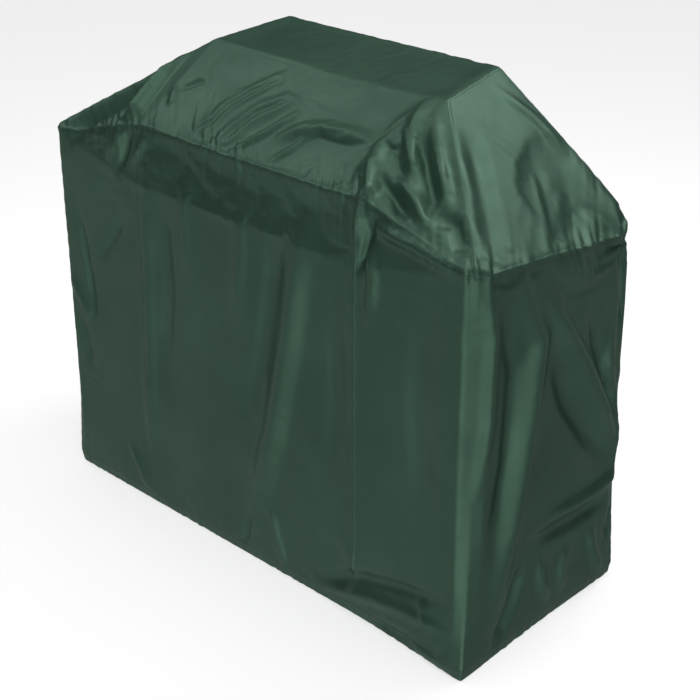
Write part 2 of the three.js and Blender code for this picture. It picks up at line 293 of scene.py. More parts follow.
FRONT_POCKET_LEFT = [
    ([(-0.64, 0.955), (-0.575, 1.012), (-0.519, 1.056), (-0.46, 1.108)], 0.052, -0.042),
    ([(-0.43, 1.155), (-0.440, 1.117), (-0.421, 1.055), (-0.462, 0.95)], 0.028, 0.022),
    ([(-0.57, 0.98), (-0.545, 1.02)], 0.018, 0.008),
    ([(-0.36, 1.11), (-0.327, 1.08)], 0.016, 0.007),
    ([(-0.34, 1.11), (-0.296, 1.135)], 0.016, -0.007),
    ([(-0.33, 1.06), (-0.345, 1.01), (-0.38, 0.94)], 0.020, 0.008),
    ([(-0.40, 1.03), (-0.41, 0.97), (-0.43, 0.91)], 0.020, -0.010),
]
FRONT_SLOPE = [
    ([(-0.22, 1.05), (-0.18, 1.08), (-0.17, 1.11), (-0.15, 1.13), (-0.08, 1.18)], 0.014, -0.009),
    ([(-0.12, 1.05), (-0.10, 1.08), (-0.08, 1.11), (-0.01, 1.15)], 0.016, -0.010),
    ([(-0.06, 1.05), (-0.01, 1.09), (0.01, 1.11), (0.03, 1.13)], 0.014, 0.010),
    ([(0.06, 1.05), (0.09, 1.08), (0.12, 1.12)], 0.014, 0.008),
    ([(0.02, 1.08), (0.08, 1.11), (0.13, 1.12), (0.19, 1.12), (0.28, 1.11)], 0.040, 0.016),
]
FRONT_WALL = [
    ([(0.40, 0.97), (0.42, 0.89), (0.41, 0.78)], 0.025, 0.012),
    ([(0.22, 0.97), (0.20, 0.87), (0.165, 0.66), (0.107, 0.40), (0.02, 0.12)], 0.055, 0.024),
    ([(0.13, 0.95), (0.11, 0.80), (0.07, 0.60), (0.02, 0.42)], 0.045, -0.014),
    ([(0.00, 0.97), (0.01, 0.84), (-0.02, 0.66)], 0.035, 0.010),
    ([(-0.17, 0.98), (-0.19, 0.86), (-0.18, 0.72)], 0.030, 0.009),
    ([(-0.33, 0.96), (-0.33, 0.70), (-0.35, 0.40), (-0.36, 0.15)], 0.040, 0.012),
    ([(-0.27, 0.90), (-0.26, 0.65), (-0.29, 0.42)], 0.035, -0.009),
    ([(0.30, 0.80), (0.31, 0.55), (0.28, 0.33)], 0.045, -0.010),
    ([(0.57, 0.90), (0.55, 0.62), (0.58, 0.35)], 0.060, -0.012),
    ([(0.08, 0.20), (0.11, 0.10), (0.14, 0.02)], 0.020, 0.012),
    ([(0.01, 0.14), (-0.02, 0.02)], 0.016, -0.012),
    ([(-0.61, 0.78), (-0.58, 0.59), (-0.57, 0.46)], 0.018, -0.012),
    ([(-0.66, 0.57), (-0.58, 0.46)], 0.018, 0.010),
    ([(-0.64, 0.47), (-0.60, 0.32)], 0.018, -0.010),
    ([(-0.42, 0.80), (-0.52, 0.66)], 0.022, -0.010),
    ([(-0.45, 0.14), (-0.38, 0.03)], 0.022, 0.010),
    ([(0.26, 0.06), (0.36, 0.11), (0.50, 0.15), (0.65, 0.18)], 0.026, -0.012),
    ([(0.24, 0.03), (0.38, 0.07), (0.52, 0.10), (0.66, 0.11)], 0.022, 0.014),
    ([(0.33, 0.20), (0.37, 0.12), (0.36, 0.05)], 0.018, 0.008),
    ([(0.56, 0.17), (0.60, 0.10), (0.64, 0.03)], 0.018, 0.009),
    ([(0.42, 0.02), (0.56, 0.03)], 0.016, -0.012),
    ([(0.55, 0.015), (0.67, 0.03)], 0.016, 0.010),
]
RIGHT_END = [
    ([(-0.27, 0.93), (-0.235, 0.82), (-0.24, 0.62), (-0.27, 0.45)], 0.035, 0.010),
    ([(-0.165, 0.94), (-0.083, 0.77), (-0.098, 0.61), (-0.122, 0.44), (-0.19, 0.12)], 0.050, 0.024),
    ([(-0.21, 0.90), (-0.16, 0.72), (-0.17, 0.50), (-0.21, 0.30)], 0.035, -0.012),
    ([(-0.08, 0.89), (-0.01, 0.78), (0.07, 0.67), (0.17, 0.51), (0.25, 0.36)], 0.042, 0.028),
    ([(-0.02, 0.70), (0.05, 0.56), (0.20, 0.36)], 0.045, -0.018),
    ([(0.10, 0.78), (0.16, 0.62), (0.24, 0.43)], 0.024, -0.014),
    ([(0.20, 0.72), (0.19, 0.60), (0.25, 0.42), (0.26, 0.32)], 0.018, 0.014),
    ([(0.22, 0.90), (0.25, 0.78), (0.22, 0.66)], 0.028, -0.016),
    ([(0.265, 0.34), (0.25, 0.30), (0.17, 0.284), (0.0, 0.291)], 0.024, 0.018),
    ([(0.24, 0.24), (0.10, 0.235), (-0.06, 0.25)], 0.034, -0.014),
    ([(-0.18, 0.02), (-0.12, 0.12), (-0.085, 0.21)], 0.030, -0.016),
    ([(-0.025, 0.20), (-0.02, 0.13), (0.01, 0.06)], 0.022, 0.014),
    ([(0.08, 0.18), (0.06, 0.12), (0.065, 0.06)], 0.022, 0.014),
    ([(0.17, 0.19), (0.18, 0.13), (0.23, 0.03)], 0.022, 0.014),
    ([(0.27, 0.20), (0.24, 0.12)], 0.018, -0.012),
    ([(-0.25, 0.955), (-0.20, 0.93), (-0.15, 0.945)], 0.016, -0.010),
    ([(-0.14, 0.945), (-0.11, 0.93), (-0.07, 0.945)], 0.014, -0.008),
    ([(0.15, 1.19), (0.20, 1.13), (0.23, 1.06)], 0.022, 0.006),
    ([(-0.01, 1.15), (-0.07, 1.09), (-0.14, 1.03), (-0.21, 0.98)], 0.045, -0.008),
]
VIEWS = {                    # where a fold's places are seen from: (origin, direction) of a ray
    "front": (lambda a, b: Vector((a, -2, b)), Vector((0, 1, 0))),
    "back": (lambda a, b: Vector((a, 2, b)), Vector((0, -1, 0))),
    "right": (lambda a, b: Vector((2, a, b)), Vector((-1, 0, 0))),
    "left": (lambda a, b: Vector((-2, a, b)), Vector((1, 0, 0))),
    "above": (lambda a, b: Vector((a, b, 2)), Vector((0, 0, -1))),
}


def echoed(folds, mirror, along, up):
    """The same folds for another side: mirrored or not, moved a little and less deep."""
    return [([(mirror * a + along, b + up) for a, b in places], 1.1 * width, 0.8 * rise)
            for places, width, rise in folds]


FOLDS = [
    ("front", FRONT_POCKET_RIGHT), ("front", FRONT_POCKET_LEFT), ("front", FRONT_SLOPE),
    ("front", FRONT_WALL), ("right", RIGHT_END),
    ("back", echoed(FRONT_WALL, -1, 0.03, 0.0)),
    ("back", echoed(FRONT_SLOPE, -1, -0.05, 0.03)),
    ("back", echoed(FRONT_POCKET_RIGHT, -1, -0.01, -0.01)),
    ("left", echoed(RIGHT_END[3:14], -1, 0.05, 0.0)),
]
SHARP_FOLDS = ((1, 0.003), (0, -0.002), (2, -0.003), (3, 0.003), (5, 0.003), (6, -0.003))
CREASES = [                  # sharper lines, pressed in once the cloth has settled
    ("front", [(FRONT_POCKET_RIGHT[fold][0], 0.012, rise) for fold, rise in SHARP_FOLDS]),
    ("front", [
        ([(0.420, 1.068), (0.482, 1.044), (0.541, 1.015)], 0.012, 0.003),
        ([(0.388, 1.01), (0.392, 0.97), (0.376, 0.89)], 0.010, -0.004),
        ([(-0.425, 1.17), (-0.440, 1.117), (-0.421, 1.055), (-0.462, 0.95)], 0.011, 0.008),
        ([(-0.33, 1.05), (-0.375, 0.955)], 0.010, 0.003),
    ]),
]
TAPER = 0.25                 # the share of a fold's length over which each end dies out


def fold_route(tree, view, places):
    """A fold's places dropped onto the skin; one just past its outline goes to the nearest edge."""
    origin, direction = VIEWS[view]
    starts = [origin(a, b) for a, b in places]
    hits = [tree.ray_cast(start, direction)[0] for start in starts]
    return [hit or tree.find_nearest(start + direction * 2)[0] for hit, start in zip(hits, starts)]


def fold_section(points, route, width):
    """How far up the fold's section each point is, from 0 to 1, dying out at its ends."""
    lengths = [(b - a).length for a, b in zip(route, route[1:])]
    total = sum(lengths)
    section = np.zeros(len(points))
    done = 0.0
    for start, end, length in zip(route, route[1:], lengths):
        a, along = np.array(start), np.array(end - start)
        t = np.clip((points - a) @ along / length ** 2, 0, 1)
        distance = np.linalg.norm(points - (a + t[:, None] * along), axis=1)
        share = (done + t * length) / total
        ends = np.clip(np.minimum(share, 1 - share) / TAPER, 0, 1)
        rise = 0.5 + 0.5 * np.cos(math.pi * np.minimum(distance / width, 1))
        section = np.maximum(section, rise * (0.15 + 0.85 * ends))
        done += length
    return section


def press_folds(points, rest, normals, tree, folds):
    """The points moved along their normals by every fold; rest is where the skin was cut."""
    height = np.zeros(len(points))
    for view, group in folds:
        for places, width, rise in group:
            height += rise * fold_section(rest, fold_route(tree, view, places), width)
    return points + normals * height[:, None]


CORNER_CUT = (0.034, 0.052)  # how far the rounding reaches along the front or back, and the end
HEM_TUCK = (0.030, 0.006)    # the height over which the elastic draws the hem in, and how far
CORNER_ROUNDING = (          # heights, and the share of the cut at each
    (0.0, 0.25, 0.5, 0.82, 0.96, 1.0), (0.15, 0.75, 1, 1, 0.8, 0.2),
)
AT_FACE = 0.003              # a point this near the outside of a wall belongs to it
FLARE = (0.014, 0.023)       # how far the near front corner stands out at the floor
FLARE_REACH = (0.35, 0.45)   # how far that runs along the hem, and up


def drawn_in(points):
    """The skin as cut with its upright corners rounded and its hem drawn in by the elastic."""
    moved = points.copy()
    outward_x, outward_y = np.sign(points[:, 0]), np.sign(points[:, 1])
    from_end = EDGE_X - np.abs(points[:, 0])
    from_face = np.where(points[:, 1] < 0, points[:, 1] - FRONT_Y, BACK_Y - points[:, 1])
    cut = np.clip(1 - from_end / CORNER_CUT[0] - from_face / CORNER_CUT[1], 0, 1)
    cut *= np.interp(points[:, 2], *CORNER_ROUNDING)
    tuck = HEM_TUCK[1] * np.clip(1 - points[:, 2] / HEM_TUCK[0], 0, 1)
    near_end, near_face = from_end < AT_FACE, from_face < AT_FACE
    moved[:, 0] -= outward_x * (cut * CORNER_CUT[0] / 2 + np.where(near_end, tuck, 0))
    moved[:, 1] -= outward_y * (cut * CORNER_CUT[1] / 2 + np.where(near_face, tuck, 0))
    along = np.abs(points[:, 0] - EDGE_X) + np.abs(points[:, 1] - FRONT_Y)
    flare = np.clip(1 - along / FLARE_REACH[0], 0, 1) ** 1.5
    flare *= np.clip(1 - points[:, 2] / FLARE_REACH[1], 0, 1) ** 1.5
    moved[:, 0] += flare * FLARE[0]
    moved[:, 1] -= flare * FLARE[1]
    return moved


PUCKER_REACH = 0.040         # how far the gathers run from a seam
PUCKER_HEIGHT = 0.0030
PUCKER_WAVELENGTHS = (0.021, 0.029, 0.041, 0.067)


def pucker(points, rest, normals):
    """Small gathers across the shoulder seam and the hem, where thread and elastic draw them up."""
    draw = np.random.default_rng(SEED + 1)
    height = np.zeros(len(points))
    around = rest[:, 0] + rest[:, 1] * 0.93
    for names, scale in ((SHOULDER, 1.0), (HEM, 0.35)):
        away = route_distance(rest, names, closed=True)
        waves = np.zeros(len(points))
        for wavelength in PUCKER_WAVELENGTHS:
            phase, drift = draw.uniform(0, 2 * math.pi, 2)
            bend = 2.0 * np.sin(around * 9 + drift)
            waves += np.sin(2 * math.pi * around / wavelength + phase + bend)
        patchy = 0.6 + 0.4 * np.sin(around * 17 + draw.uniform(0, 6))
        height += scale * PUCKER_HEIGHT * waves * patchy * np.exp(-away / PUCKER_REACH) / 2
    return points + normals * height[:, None]


def point_normals(points, triangles, rounds):
    """Unit normals at the points, averaged with their neighbours for some rounds."""
    a, b, c = (points[triangles[:, k]] for k in range(3))
    face = np.cross(b - a, c - a)
    normals = np.zeros_like(points)
    for k in range(3):
        np.add.at(normals, triangles[:, k], face)
    for done in range(rounds + 1):
        normals /= np.linalg.norm(normals, axis=1)[:, None]
        if done < rounds:
            total = normals.copy()
            for i, j in ((0, 1), (1, 2), (2, 0)):
                np.add.at(total, triangles[:, i], normals[triangles[:, j]])
                np.add.at(total, triangles[:, j], normals[triangles[:, i]])
            normals = total
    return normals


# ----- the hidden grill the cover rests on

CLEARANCE = 0.010            # between the skin as cut and the grill
ROOM = 0.012                 # more clearance where the cloth is to hang free of the grill
SEAM_ROOM = (0.006, 0.008)   # the same at the middle of the shoulder seam, across and up
END_ROOM = 0.004
HOOD_INSET = 0.02            # from the skirt's vertical seams in to the ends of the hood
HOOD_TOP_INSETS = (0.002, 0.006)
HOOD_BOTTOM, SHELF_BOTTOM = 0.80, 0.88
HOOD_ROUND, SHELF_ROUND = 0.010, 0.012


def collider(name, points, faces=None, round_edge=0.0):
    """A hidden solid that the cloth meets: the hull of the points, or the faces as given."""
    bm = bmesh.new()
    verts = [bm.verts.new(point) for point in points]
    if faces is None:
        bmesh.ops.convex_hull(bm, input=bm.verts)
        bmesh.ops.dissolve_limit(bm, angle_limit=0.01, verts=bm.verts, edges=bm.edges)
        bmesh.ops.bevel(bm, geom=list(bm.edges), offset=round_edge, segments=2, affect="EDGES")
        bmesh.ops.recalc_face_normals(bm, faces=bm.faces)
    else:
        for face in faces:
            bm.faces.new([verts[i] for i in face])
    mesh = bpy.data.meshes.new(name)
    bm.to_mesh(mesh)
    bm.free()
    made = add_object(name, mesh)
    made.modifiers.new("Collision", "COLLISION")
    made.collision.thickness_outer = 0.002
    made.collision.thickness_inner = 0.012
    made.collision.cloth_friction = 8
    made.collision.damping = 0.4
    return made


def hidden_grill():
    """Colliders for the hood and the side shelves, and for the floor."""
    gap = CLEARANCE
    front, back = FRONT_Y + gap + ROOM, BACK_Y - gap - ROOM
    hood_x = SEAM_X - HOOD_INSET
    across, up = SEAM_ROOM
    profile = [
        (front, HOOD_BOTTOM), (front, BEND_Z), (FRONT_SEAM_Y + gap + across, SEAM_Z - up),
        (TOP_FRONT[1] + HOOD_TOP_INSETS[0], TOP_FRONT[2] - gap),
        (TOP_BACK[1] - HOOD_TOP_INSETS[1], TOP_BACK[2] - gap),
        (BACK_SEAM_Y - gap - across, SEAM_Z - up), (back, BEND_Z), (back, HOOD_BOTTOM),
    ]
    hood = collider("hood", [(s * hood_x, y, z) for s in (-1, 1) for y, z in profile],
                    round_edge=HOOD_ROUND)
    made = [hood]
    for side, sign in SIDES.items():
        near, far = hood_x + ROOM, EDGE_X - gap - END_ROOM
        shelf = [
            (sign * x, y, z)
            for x in (near, far)
            for y, top in ((front, CORNER_Z), (back, CORNER_Z - BACK_CORNER_DROP[side]))
            for z in (SHELF_BOTTOM, top - gap - ROOM)
        ]
        made.append(collider("shelf_" + side, shelf, round_edge=SHELF_ROUND))
    floor = [(-2, -2, 0), (2, -2, 0), (2, 2, 0), (-2, 2, 0)]
    made.append(collider("ground", floor, faces=[(0, 1, 2, 3)]))
    return made


# ----- the simulation

SETTLE_FRAMES = 24
SLACK = -0.0015              # shrink of plain cloth: below zero is spare cloth
SEAM_PULL = 0.02             # seams are drawn up by their thread
HEM_PULL = 0.01
CORNER_REACH = 0.03          # half width of the strip held along corners and hips
CORNER_HOLD = 0.8
HIP_HOLD = 0.9
END_HOLD = 0.6               # the end slopes are stretched over the grill's end caps
ON_SEAM = 0.6 * MESH_STEP    # a point of the mesh this near a seam or hem lies on it
GATHER_HOLD = 0.45           # the stiff gathered cloth at the front corners keeps its folds
GATHER_INSET = 0.05          # how far inside the vertical seams that cloth begins
SEAM_HOLD = 0.12             # near the shoulder seam and above, the cloth is free to gather
WALL_HOLD = 0.55             # the skirt hangs against the cart
FREEING = (0.70, 1.0)        # the heights between which the hold of the wall gives way
ON_SLOPE = 0.012             # a point this near the plane of an end slope lies on it


def segment_distance(points, a, b):
    """Distance of each point from a straight line between two corners."""
    a, b = np.array(a), np.array(b)
    along = b - a
    t = np.clip((points - a) @ along / (along @ along), 0, 1)
    return np.linalg.norm(points - (a + t[:, None] * along), axis=1)


def route_distance(points, names, closed=False):
    """Distance of each point from a route through named corners."""
    return np.min([segment_distance(points, CORNERS[a], CORNERS[b])
                   for a, b in route_pairs(names, closed)], axis=0)


SHOULDER = ["leftFrontCorner", "leftFrontSeam", "rightFrontSeam", "rightFrontCorner",
            "rightBackCorner", "rightBackSeam", "leftBackSeam", "leftBackCorner"]
HEM = ["leftHemFrontCorner", "rightHemFrontCorner", "rightHemBackCorner", "leftHemBackCorner"]


def hip_route(side):
    """Round the sewn edge of an end of the cap, from its front corner to its back corner."""
    return [side + name for name in ("FrontCorner", "TopFront", "TopBack", "BackCorner")]


def shrink_map(points):
    """How much the cloth is drawn up at each point of the skin as cut; below zero is slack."""
    shrink = np.full(len(points), SLACK)
    seam = route_distance(points, SHOULDER, closed=True)
    shrink = np.where(seam < ON_SEAM, SEAM_PULL, shrink)
    hem = route_distance(points, HEM, closed=True)
    return np.where(hem < ON_SEAM, HEM_PULL, shrink)


def on_end_slope(points, side):
    """Whether each point lies in the plane of an end of the cap, above the shoulder seam."""
    origin = np.array(CORNERS[side + "TopFront"])
    one = np.array(CORNERS[side + "FrontCorner"]) - origin
    two = np.array(CORNERS[side + "TopBack"]) - origin
    normal = np.cross(one, two)
    away = (points - origin) @ normal / np.linalg.norm(normal)
    lowest = CORNER_Z - BACK_CORNER_DROP[side]
    return (np.abs(away) < ON_SLOPE) & (points[:, 2] > lowest)


def hold_map(points):
    """How firmly the cloth is held where it was cut: at its hem, its corners and its ends."""
    hem = route_distance(points, HEM, closed=True)
    held = np.interp(points[:, 2], FREEING, (WALL_HOLD, SEAM_HOLD))
    held = np.where(hem < ON_SEAM, 1.0, held)
    for side in SIDES:
        beyond = points[:, 0] * SIDES[side] > SEAM_X - GATHER_INSET
        gathered = beyond & (points[:, 1] < 0) & (points[:, 2] > BEND_Z)
        held = np.where(gathered, np.maximum(held, GATHER_HOLD), held)
        for end in FACES:
            corner = route_distance(points, [side + "Hem" + end + "Corner", side + end + "Corner"])
            held = np.maximum(held, CORNER_HOLD * np.clip(1 - corner / CORNER_REACH, 0, 1))
        hip = route_distance(points, hip_route(side))
        held = np.maximum(held, HIP_HOLD * np.clip(1 - hip / CORNER_REACH, 0, 1))
        held = np.where(on_end_slope(points, side), np.maximum(held, END_HOLD), held)
    return held


def coordinates(mesh):
    """Vertex coordinates of a mesh as an array."""
    found = np.empty(len(mesh.vertices) * 3)
    mesh.vertices.foreach_get("co", found)
    return found.reshape(-1, 3)


def weight_group(thing, name, weights):
    """A vertex group with one weight for each vertex."""
    group = thing.vertex_groups.new(name=name)
    for index, value in enumerate(weights):
        group.add([index], float(value), "REPLACE")
    return group.name


def settle(skin, shrink, hold, frames):
    """Runs the cloth for some frames and gives the places its points come to."""
    low, high = float(shrink.min()), float(shrink.max())
    cloth = skin.modifiers.new("Cloth", "CLOTH")
    settings = cloth.settings
    settings.quality = 6
    settings.mass = 0.3
    settings.air_damping = 5.0
    settings.tension_stiffness = 60
    settings.compression_stiffness = 60
    settings.shear_stiffness = 30
    settings.bending_stiffness = 0.5
    settings.tension_damping = settings.compression_damping = settings.shear_damping = 5
    settings.effector_weights.gravity = 0.25
    settings.vertex_group_shrink = weight_group(skin, "shrink", (shrink - low) / (high - low))
    settings.vertex_group_mass = weight_group(skin, "hold", hold)
    settings.pin_stiffness = 1.0
    settings.shrink_min, settings.shrink_max = low, high
    cloth.collision_settings.distance_min = 0.003
    cloth.collision_settings.collision_quality = 2
    cloth.collision_settings.use_self_collision = False
    scene = bpy.context.scene
    scene.frame_start, scene.frame_end = 1, frames
    cloth.point_cache.frame_start, cloth.point_cache.frame_end = 1, frames
    for number in range(1, frames + 1):
        scene.frame_set(number)
    settled = skin.evaluated_get(bpy.context.evaluated_depsgraph_get())
    coords = coordinates(settled.data)
    skin.modifiers.remove(cloth)
    skin.vertex_groups.clear()
    scene.frame_set(1)
    return coords


# ----- refining the skin

def refine(points, rest, triangles):
    """One round of Loop subdivision; rest is split without being smoothed."""
    count = len(points)
    across = np.concatenate([triangles[:, 2], triangles[:, 0], triangles[:, 1]])
    keys = np.sort(triangle_sides(triangles), axis=1)
    edges, owner = np.unique(keys, axis=0, return_inverse=True)
    owner = owner.ravel()
    uses = np.bincount(owner)
    opposite = np.zeros((len(edges), 3))
    np.add.at(opposite, owner, points[across])
    a, b = edges[:, 0], edges[:, 1]
    middle = (points[a] + points[b]) / 2
    smooth = 0.75 * middle + 0.125 * opposite
    border = (uses == 1)[:, None]
    added = np.where(border, middle, smooth)
    total, near = np.zeros((count, 3)), np.zeros(count)
    rim, rim_near = np.zeros((count, 3)), np.zeros(count)
    for i, j in ((a, b), (b, a)):
        np.add.at(total, i, points[j])
        np.add.at(near, i, 1)
        np.add.at(rim, i[uses == 1], points[j[uses == 1]])
        np.add.at(rim_near, i[uses == 1], 1)
    weight = (0.625 - (0.375 + 0.25 * np.cos(2 * np.pi / near)) ** 2) / near
    inner = points * (1 - near * weight)[:, None] + total * weight[:, None]
    outer = 0.75 * points + 0.125 * rim
    kept = np.where((rim_near == 2)[:, None], outer, inner)
    parts = owner.reshape(3, -1) + count
    ab, bc, ca = parts
    p, q, r = triangles.T
    split = np.concatenate([np.stack(corner, axis=1) for corner in
                            ((p, ab, ca), (ab, q, bc), (ca, bc, r), (ab, bc, ca))])
    halves = (rest[a] + rest[b]) / 2
    return np.concatenate([kept, added]), np.concatenate([rest, halves]), split


# ----- the cloth as it came to lie

THICKNESS = 0.0006           # coated taffeta with a little body, so that its edges show


class Cloth:
    """The settled skin, and how a place on the skin as cut maps onto it."""

    def __init__(self, points, rest, triangles, owners):
        self.points, self.rest, self.triangles, self.owners = points, rest, triangles, owners
        self.normals = point_normals(points, triangles, 0)
        self.tree = skin_tree(rest, triangles)

    def at(self, spot, lift):
        """Where a place on the skin as cut has come to, lifted off the cloth's outside."""
        near, _, index, _ = self.tree.find_nearest(spot)
        corners = self.triangles[index]
        before = [Vector(self.rest[i]) for i in corners]
        after = [Vector(self.points[i]) for i in corners]
        normals = [Vector(self.normals[i]) for i in corners]
        normal = barycentric_transform(near, *before, *normals).normalized()
        return barycentric_transform(near, *before, *after) + normal * lift


def skin_tree(rest, triangles):
    """A search tree over the skin as cut."""
    return BVHTree.FromPolygons([Vector(point) for point in rest], triangles.tolist())


def settled_cloth():
    """The skin meshed, its folds pressed in, settled over the grill, refined and creased."""
    skin = skin_mesh()
    rest = coordinates(skin.data)
    triangles = np.array([list(face.vertices) for face in skin.data.polygons])
    owners = np.array([face.material_index for face in skin.data.polygons])
    tree = skin_tree(rest, triangles)
    points = press_folds(drawn_in(rest), rest, point_normals(rest, triangles, 6), tree, FOLDS)
    skin.data.vertices.foreach_set("co", points.ravel())
    skin.data.update()
    colliders = hidden_grill()
    points = settle(skin, shrink_map(rest), hold_map(rest), SETTLE_FRAMES)
    for helper in [skin, *colliders]:
        bpy.data.objects.remove(helper)
    points, rest, triangles = refine(points, rest, triangles)
    owners = np.tile(owners, 4)
    points = press_folds(points, rest, point_normals(points, triangles, 3), tree, CREASES)
    points = pucker(points, rest, point_normals(points, triangles, 3))
    return Cloth(points, rest, triangles, owners)


# ----- routes along the seams

PANEL_SEAMS = {
    "Front": ["leftFrontCorner", "leftFrontSeam", "rightFrontSeam", "rightFrontCorner"],
    "Right": ["rightFrontCorner", "rightBackCorner"],
    "Back": ["rightBackCorner", "rightBackSeam", "leftBackSeam", "leftBackCorner"],
    "Left": ["leftBackCorner", "leftFrontCorner"],
}
HEM_ROUTE = ["leftHemFrontCorner", "leftHemFrontSeam", "rightHemFrontSeam", "rightHemFrontCorner",
             "rightHemBackCorner", "rightHemBackSeam", "leftHemBackSeam", "leftHemBackCorner"]


def seam_route(side, face):
    """Up a vertical seam of the skirt."""
    return [side + name for name in (f"Hem{face}Seam", face + "Bend", face + "Seam")]


def into_facet(start, end, panels):
    """The direction from an edge into the facet beside it that is part of one of the panels."""
    for panel, facets in PANELS.items():
        for names in facets:
            for a, b in route_pairs(names, closed=True):
                if {a, b} == {start, end} and panel.startswith(panels):
                    normal = facet_normal([CORNERS[name] for name in names])
                    return normal.cross(CORNERS[b] - CORNERS[a]).normalized()
    raise ValueError(f"no facet of {panels} beside {start} and {end}")


def beside(names, panels, distance, step, closed=False):
    """Places along a route of corners, a distance into the facets of some panels."""
    pairs = route_pairs(names, closed)
    inward = [into_facet(a, b, panels) for a, b in pairs]
    stops = []
    for index, name in enumerate(names):
        before = inward[index - 1] if closed or index else inward[0]
        after = inward[min(index, len(inward) - 1)]
        stops.append(CORNERS[name] + (before + after) / (1 + before.dot(after)) * distance)
    spots = []
    for index, (a, b) in enumerate(pairs):
        start, end = stops[index], stops[(index + 1) % len(stops)]
        count = max(1, round((CORNERS[b] - CORNERS[a]).length / step))
        spots += [start.lerp(end, i / count) for i in range(count)]
    return spots if closed else spots + [stops[-1]]


# ----- mesh pieces

def new_piece(name, points, faces, material, slot):
    """A smooth-shaded mesh object riding on the cover's one body."""
    mesh = bpy.data.meshes.new(name)
    mesh.from_pydata(points, [], faces)
    mesh.validate()
    mesh.shade_smooth()
    mesh.set_sharp_from_angle(angle=math.radians(60))
    mesh.materials.append(material)
    piece = add_object(name, mesh)
    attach(piece, "root")
    return piece


def panel_shell(cloth, panel):
    """(points, faces) of one sewn panel as a thin closed shell."""
    triangles = cloth.triangles[cloth.owners == list(PANELS).index(panel)]
    used, local = np.unique(triangles, return_inverse=True)
    local = local.reshape(-1, 3)
    outer = cloth.points[used]
    inner = outer - cloth.normals[used] * THICKNESS
    count = len(used)
    sides = triangle_sides(local)
    _, where, uses = np.unique(np.sort(sides, axis=1), axis=0, return_index=True,
                               return_counts=True)
    rim = sides[where[uses == 1]]
    walls = np.stack([rim[:, 1], rim[:, 0], rim[:, 0] + count, rim[:, 1] + count], axis=1)
    faces = local.tolist() + (local[:, ::-1] + count).tolist() + walls.tolist()
    return np.concatenate([outer, inner]).tolist(), faces


def swept(sections, closed=False):
    """(points, faces) of a solid through equal rings of points, capped unless it closes."""
    size = len(sections[0])
    points = [tuple(point) for section in sections for point in section]
    faces = []
    turns = len(sections) if closed else len(sections) - 1
    for i in range(turns):
        low, high = i * size, (i + 1) % len(sections) * size
        for k in range(size):
            after = (k + 1) % size
            faces.append([low + k, low + after, high + after, high + k])
    if not closed:
        faces += [list(range(size))[::-1], [(len(sections) - 1) * size + k for k in range(size)]]
    return points, faces


def joined(*solids):
    """Several (points, faces) as one."""
    points, faces = [], []
    for some_points, some_faces in solids:
        base = len(points)
        points += some_points
        faces += [[base + i for i in face] for face in some_faces]
    return points, faces


def outward(solid):
    """The solid with its faces pointing out, whichever way its route ran."""
    points, faces = solid
    volume = 0.0
    for face in faces:
        a = Vector(points[face[0]])
        for p, q in zip(face[1:], face[2:]):
            volume += a.dot(Vector(points[p]).cross(Vector(points[q])))
    return solid if volume > 0 else (points, [face[::-1] for face in faces])


def ribbon(cloth, names, profile, step=0.006, closed=False):
    """A strip along a route. Its profile is a ring of (panels, distance into them, lift)."""
    lines = [[cloth.at(spot, lift) for spot in beside(names, panels, distance, step, closed)]
             for panels, distance, lift in profile]
    return outward(swept(list(zip(*lines)), closed))


# ----- seams, tapes and stitching

CAP = "cap"
SKIRT = ("skirt", "side_wrap")


WELT = [                     # a ring of (panel over or under, distance from the seam, lift)
    ("over", 0.0080, 0.0001), ("over", 0.0070, 0.0005), ("over", 0.0020, 0.0006),
    ("under", 0.0010, 0.0006), ("under", 0.0016, 0.0001), ("over", 0.0020, -0.0002),
]


def welt(cloth, names, over, under):
    """The folded edge of one panel where it laps the next at a seam."""
    panels = {"over": over, "under": under}
    return ribbon(cloth, names, [(panels[which], *place) for which, *place in WELT])


TAPE_WIDTH = 0.012
TAPE_EDGE = 0.003
TAPE_LIFTS = (-THICKNESS - 0.0011, -THICKNESS - 0.0020)


def tape(cloth, names, panels, closed=False):
    """A binding tape sewn flat inside a panel, beside its seam."""
    near, far = TAPE_EDGE, TAPE_EDGE + TAPE_WIDTH
    top, bottom = TAPE_LIFTS
    profile = [
        (panels, near, top), (panels, (near + far) / 2, top - 0.0001), (panels, far, top),
        (panels, far, bottom), (panels, (near + far) / 2, bottom), (panels, near, bottom),
    ]
    return ribbon(cloth, names, profile, closed=closed)


STITCH_PITCH = 0.0045
STITCH_LENGTH = 0.0032
THREAD_RADIUS = 0.00045
STITCH_SHARES = (0.0, 0.25, 0.75, 1.0)
STITCH_LIFTS = (-0.0002, THREAD_RADIUS, THREAD_RADIUS, -0.0002)
SHOULDER_ROWS = {"upper": 0.0042, "lower": 0.0095}
SEAM_ROW = 0.005             # from a seam to its row of stitching


def stitch_line(cloth, names, panels, distance, closed=False):
    """A row of lockstitches on the outside, each a short length of thread dipping at its ends."""
    spots = beside(names, panels, distance, STITCH_PITCH, closed)
    solids = []
    for start, following in zip(spots, spots[1:] + spots[:1] if closed else spots[1:]):
        reach = (following - start) * (STITCH_LENGTH / STITCH_PITCH)
        path = [cloth.at(start + reach * share, lift)
                for share, lift in zip(STITCH_SHARES, STITCH_LIFTS)]
        solids.append(thread_dash(path))
    return joined(*solids)


